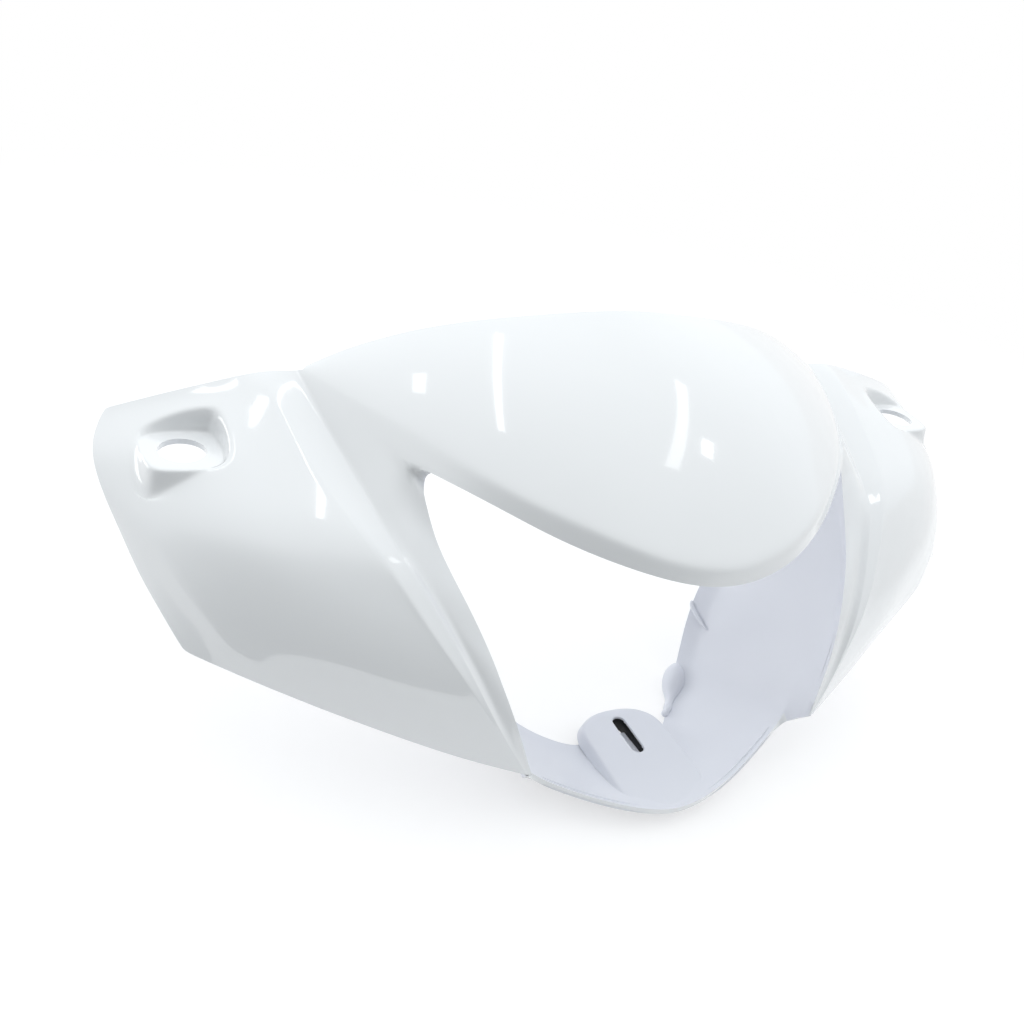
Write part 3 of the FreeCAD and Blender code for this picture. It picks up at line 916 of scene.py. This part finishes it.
@dataclass(frozen=True)
class MouldedPlastic:
    """Plastic as it leaves a mould: even colour, with the faint waves of the mould's surface."""

    name: str
    colour: str
    shade: str
    roughness: Span
    wave_mm: float
    wave_height_mm: float
    wave_detail: float = 2.0
    cloud_mm: float = 55.0
    cloud_detail: float = 3.0
    cloud_span: Span = (0.3, 0.7)
    ior: float = 1.53
    coat: float = 0.0
    coat_roughness: float = 0.03

    def material(self) -> bpy.types.Material:
        """Make the material.

        Returns:
            The material, with procedural colour, roughness and relief.
        """
        made = bpy.data.materials.new(self.name)
        made.use_nodes = True
        tree = made.node_tree
        tree.nodes.clear()
        place = add_node(tree, "ShaderNodeTexCoord").outputs["Object"]
        clouds = add_node(tree, "ShaderNodeTexNoise",
                          {"Scale": 1 / (self.cloud_mm * MM), "Detail": self.cloud_detail},
                          {"Vector": place}).outputs["Fac"]
        tint = add_node(tree, "ShaderNodeMix", {"data_type": "RGBA"}, {0: clouds})
        tint.inputs[MIX_COLOUR_A].default_value = linear(self.colour)
        tint.inputs[MIX_COLOUR_B].default_value = linear(self.shade)
        waves = add_node(tree, "ShaderNodeTexNoise",
                         {"Scale": 1 / (self.wave_mm * MM), "Detail": self.wave_detail},
                         {"Vector": place}).outputs["Fac"]
        relief = add_node(tree, "ShaderNodeBump",
                          {"Strength": 1.0, "Distance": self.wave_height_mm * MM},
                          {"Height": waves}).outputs["Normal"]
        polish = add_node(tree, "ShaderNodeMapRange",
                          {"From Min": self.cloud_span[0], "From Max": self.cloud_span[1],
                           "To Min": self.roughness[0], "To Max": self.roughness[1]},
                          {"Value": clouds}).outputs["Result"]
        shader = add_node(tree, "ShaderNodeBsdfPrincipled",
                          {"IOR": self.ior, "Coat Weight": self.coat,
                           "Coat Roughness": self.coat_roughness},
                          {"Base Color": tint.outputs[MIX_COLOUR_RESULT], "Roughness": polish,
                           "Normal": relief})
        add_node(tree, "ShaderNodeOutputMaterial", links={"Surface": shader.outputs["BSDF"]})
        return made


# Polished side of the mould: high gloss with crisp reflections, which faint waves bend a little
GLOSS_ABS = MouldedPlastic("moulded white gloss ABS", "#F1F3F4", "#EEF0F1", (0.07, 0.11), 9.0, 0.012,
                           coat=0.8)
# Painted shade: a dull black sleeve, nearly without a sheen, stands in for the darkness down in the
# slot
PAINTED_SLOT_SHADE = MouldedPlastic("painted slot shade", "#0B0B0C", "#111113", (0.55, 0.65), 1.2, 0.01)
# Unpolished core side of the mould: the same plastic with a real soft satin sheen, and a darker,
# bluish tone that is painted shade for the hollow inside
SHADED_SATIN_ABS = MouldedPlastic("moulded white satin ABS with painted shade", "#E4E6EC", "#DFE1E8", (0.34, 0.44), 1.6, 0.02)


@dataclass(frozen=True)
class Softbox:
    """Rectangular studio lamp."""

    name: str
    place: Point
    aim: Point
    size: Span
    power: float
    turn: float = 0.0

    @classmethod
    def overhead(cls, name: str, spot: Span, size: Span, power: float, turn: float) -> "Softbox":
        """Lamp at the ceiling that faces straight down over a spot of the floor."""
        return cls(name, (*spot, CEILING), (*spot, 0.0), size, power, turn)

    def build(self) -> None:
        """Hang the lamp."""
        data = bpy.data.lights.new(self.name, "AREA")
        data.shape = "RECTANGLE"
        data.size, data.size_y = self.size
        data.energy = self.power
        lamp = bpy.data.objects.new(self.name, data)
        lamp.location = Vector(self.place)
        facing = (Vector(self.aim) - lamp.location).to_track_quat("-Z", "Y").to_matrix()
        lamp.rotation_euler = (facing @ Matrix.Rotation(math.radians(self.turn), 3, "Z")).to_euler()
        bpy.context.scene.collection.objects.link(lamp)


@dataclass
class Studio:
    """Pale floor, white room with one dark side, lamps and the camera."""

    floor_radius: float = 12.0
    floor_gap: float = 0.0004
    floor_front: float = 0.40
    backdrop_height: float = 4.0
    floor_colour: str = "#F1F1F2"
    floor_glow: float = 0.55
    floor_seen: str = "#BDBDBD"
    shadow_reach: Span = (0.42, 0.95)
    room_heights: tuple[float, ...] = (0.0, 0.35, 0.70, 1.0)
    room_levels: tuple[float, ...] = (1.03, 1.20, 1.27, 1.33)
    room_tint: str = "#F8FBFD"
    dark_side: Point = (-0.44, -0.88, 0.0)
    dark_spread: Span = (0.38, 0.96)
    dark_level: float = 0.03
    camera_place: Point = (-0.28426, -0.39197, 0.22881)
    camera_right: Point = (0.88832, -0.41779, 0.19063)
    camera_up: Point = (0.07416, 0.54017, 0.83828)
    camera_lens: float = 36.914
    camera_sensor: float = 36.0
    lamps: tuple[Softbox, ...] = (
        Softbox.overhead("narrow tube lamp", (-0.014, 0.258), (0.023, 0.596), 0.17, -27.3),
        Softbox.overhead("broad tube lamp", (0.503, 0.019), (0.050, 0.438), 0.13, -25.0),
        Softbox.overhead("rear ceiling lamp", (-0.307, 0.307), (0.059, 0.137), 0.065, -35.0),
        Softbox.overhead("right ceiling lamp", (0.583, -0.089), (0.055, 0.078), 0.05, -20.0),
        Softbox("rear left softbox", (-1.3, 0.9, 0.15), (0.05, -0.08, -0.1), (0.8, 0.6), 3.5),
    )

    def sheet(self, part: Sheet, level: float) -> bpy.types.Object:
        """Lay one of the two sheets of floor with the backdrop on its rim.

        Args:
            part: Which of the sheets is laid.
            level: Height of the floor.

        Returns:
            The sheet.
        """
        front = part is Sheet.VIEW_ONLY
        net = bmesh.new()
        bmesh.ops.create_circle(net, cap_ends=True, segments=FLOOR_SEGMENTS, radius=self.floor_radius)
        away = Vector(self.dark_side).normalized()
        bmesh.ops.bisect_plane(net, geom=[*net.verts, *net.edges, *net.faces], clear_outer=not front,
                               clear_inner=front, plane_co=away * self.floor_front, plane_no=away)
        rim = bmesh.ops.create_circle(net, segments=FLOOR_SEGMENTS, radius=self.floor_radius)["verts"]
        edges = dict.fromkeys(e for v in rim for e in v.link_edges)
        # The lit sheet's wall stands behind the object, the other one's behind the camera
        foot = [e for e in edges if (min(v.co.y + v.co.x for v in e.verts) > 0.0) != front]
        wall = bmesh.ops.extrude_edge_only(net, edges=foot)["geom"]
        bmesh.ops.translate(net, vec=(0, 0, self.backdrop_height),
                            verts=[g for g in wall if isinstance(g, bmesh.types.BMVert)])
        bmesh.ops.translate(net, vec=(0, 0, level), verts=net.verts[:])
        data = bpy.data.meshes.new(part.value)
        net.to_mesh(data)
        net.free()
        sheet = bpy.data.objects.new(part.value, data)
        bpy.context.scene.collection.objects.link(sheet)
        return sheet

    def floor(self, level: float) -> None:
        """Lay the floor and the backdrop.

        The sheet on the dark side only fills the view from behind: it neither lights the
        object nor shows in its gloss, which mirrors the dark side of the room there.

        Args:
            level: Height of the floor.
        """
        paper = self.paper()
        for part in Sheet:
            sheet, lit = self.sheet(part, level), part is Sheet.LIT
            sheet.data.materials.append(paper)
            sheet.visible_diffuse = sheet.visible_glossy = lit
            sheet.visible_transmission = sheet.visible_shadow = lit

    def paper(self) -> bpy.types.Material:
        """Make the floor's matt white paper.

        Returns:
            The material, white where it is seen and shaded where the object stands.
        """
        made = bpy.data.materials.new("matt white paper")
        made.use_nodes = True
        tree = made.node_tree
        tree.nodes.clear()
        lit = add_node(tree, "ShaderNodeBsdfDiffuse", {"Color": linear(self.floor_colour)}).outputs[0]
        shaded = add_node(tree, "ShaderNodeBsdfDiffuse", {"Color": linear(self.floor_seen)}).outputs[0]
        glow = add_node(tree, "ShaderNodeEmission", {"Strength": self.floor_glow}).outputs[0]
        white = add_node(tree, "ShaderNodeEmission", {"Strength": 1.0}).outputs[0]
        near = add_node(tree, "ShaderNodeAddShader", links={0: shaded, 1: glow}).outputs[0]
        place = add_node(tree, "ShaderNodeTexCoord").outputs["Object"]
        reach = add_node(tree, "ShaderNodeVectorMath", {"operation": "LENGTH"}, {0: place})
        far = add_node(tree, "ShaderNodeMapRange", {"interpolation_type": "SMOOTHSTEP",
                                                    "From Min": self.shadow_reach[0],
                                                    "From Max": self.shadow_reach[1]},
                       {"Value": reach.outputs["Value"]}).outputs["Result"]
        seen = add_node(tree, "ShaderNodeMixShader", links={0: far, 1: near, 2: white}).outputs[0]
        rays = add_node(tree, "ShaderNodeLightPath").outputs
        sharp = add_node(tree, "ShaderNodeMath", {"operation": "MAXIMUM"},
                         {0: rays["Is Glossy Ray"], 1: rays["Is Transmission Ray"]}).outputs[0]
        direct = add_node(tree, "ShaderNodeMath", {"operation": "MAXIMUM"},
                          {0: rays["Is Camera Ray"], 1: sharp}).outputs[0]
        mix = add_node(tree, "ShaderNodeMixShader", links={0: direct, 1: lit, 2: seen}).outputs[0]
        add_node(tree, "ShaderNodeOutputMaterial", links={"Surface": mix})
        return made

    def room(self) -> None:
        """Light the room as a white tent with one dark side."""
        world = bpy.data.worlds.new("studio room")
        bpy.context.scene.world = world
        world.use_nodes = True
        tree = world.node_tree
        tree.nodes.clear()
        way = add_node(tree, "ShaderNodeTexCoord").outputs["Generated"]
        height = add_node(tree, "ShaderNodeSeparateXYZ", links={"Vector": way}).outputs["Z"]
        levels = add_node(tree, "ShaderNodeValToRGB", links={"Fac": height})
        ramp = levels.color_ramp
        ramp.interpolation = "EASE"
        while len(ramp.elements) < len(self.room_heights):
            ramp.elements.new(1.0)
        tint = linear(self.room_tint)
        for stop, spot, level in zip(ramp.elements, self.room_heights, self.room_levels):
            stop.position = spot
            stop.color = (tint[0] * level, tint[1] * level, tint[2] * level, 1.0)
        facing = add_node(tree, "ShaderNodeVectorMath", {"operation": "DOT_PRODUCT"}, {0: way})
        facing.inputs[1].default_value = Vector(self.dark_side).normalized()
        strength = add_node(tree, "ShaderNodeMapRange", {"interpolation_type": "SMOOTHSTEP",
                                                         "From Min": self.dark_spread[0],
                                                         "From Max": self.dark_spread[1],
                                                         "To Min": 1.0, "To Max": self.dark_level},
                            {"Value": facing.outputs["Value"]}).outputs["Result"]
        light = add_node(tree, "ShaderNodeBackground",
                         links={"Color": levels.outputs["Color"], "Strength": strength}).outputs[0]
        add_node(tree, "ShaderNodeOutputWorld", links={"Surface": light})

    def camera(self) -> None:
        """Set up the camera at the photograph's viewing angle."""
        data = bpy.data.cameras.new("camera")
        data.lens = self.camera_lens
        data.sensor_width = self.camera_sensor
        right, up = Vector(self.camera_right).normalized(), Vector(self.camera_up).normalized()
        back = right.cross(up)
        turn = Matrix((right, up, back)).transposed().to_4x4()
        camera = bpy.data.objects.new("camera", data)
        camera.matrix_world = Matrix.Translation(Vector(self.camera_place)) @ turn
        bpy.context.scene.collection.objects.link(camera)
        bpy.context.scene.camera = camera

    def build(self, level: float) -> None:
        """Build the studio.

        Args:
            level: Height of the object's lowest point.
        """
        bpy.context.scene.view_settings.view_transform = "Standard"
        self.floor(level - self.floor_gap)
        self.room()
        for lamp in self.lamps:
            lamp.build()
        self.camera()
        LOG.info("studio: %d lamps", len(self.lamps))


@dataclass
class Housing:
    """The whole moulding, dressed in its finishes."""

    wall: float = 2.5
    edge_radius: float = 0.5
    above: Point = (0.0, -40.0, 120.0)
    skin: Skin = field(default_factory=Skin)
    chin: Chin = field(default_factory=Chin)
    tab: AdjusterTab = field(default_factory=AdjusterTab)
    ribs: ClipRibs = field(default_factory=ClipRibs)

    def shell(self) -> bpy.types.Object:
        """Mould the shell in one piece.

        Returns:
            The shell.
        """
        cage = Cage()
        self.chin.lay(cage, self.skin.lay(cage))
        cage.mirror()
        shell = cage.finish("housing_shell", Vector(self.above))
        mould(shell, self.wall, self.edge_radius)
        return shell

    def build(self) -> list[bpy.types.Object]:
        """Build and dress every piece of the moulding.

        Returns:
            The pieces.
        """
        gloss, satin = GLOSS_ABS.material(), SHADED_SATIN_ABS.material()
        shell, tab, shade_sleeve, ribs = self.shell(), self.tab.build(), self.tab.shade_sleeve(), self.ribs.build()
        shell.data.materials.append(gloss)
        shell.data.materials.append(satin)
        # Tab and ribs take the satin finish, whose darker tone is painted shade
        for piece in (tab, ribs):
            piece.data.materials.append(satin)
        # The slot's sleeve is dressed in black as painted shade
        shade_sleeve.data.materials.append(PAINTED_SLOT_SHADE.material())
        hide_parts("headlight_housing")
        for piece in (shell, tab, shade_sleeve, ribs):
            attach(piece, "root")
        return [shell, tab, shade_sleeve, ribs]


def main() -> None:
    """Build the housing and its studio, and log the pieces."""
    logging.basicConfig(level=logging.INFO, format="%(name)s %(message)s")
    for piece in Housing().build():
        LOG.info("piece %s", piece.name)
    Studio().build(CAD_BOX[0][2])


if __name__ == "__main__":
    main()
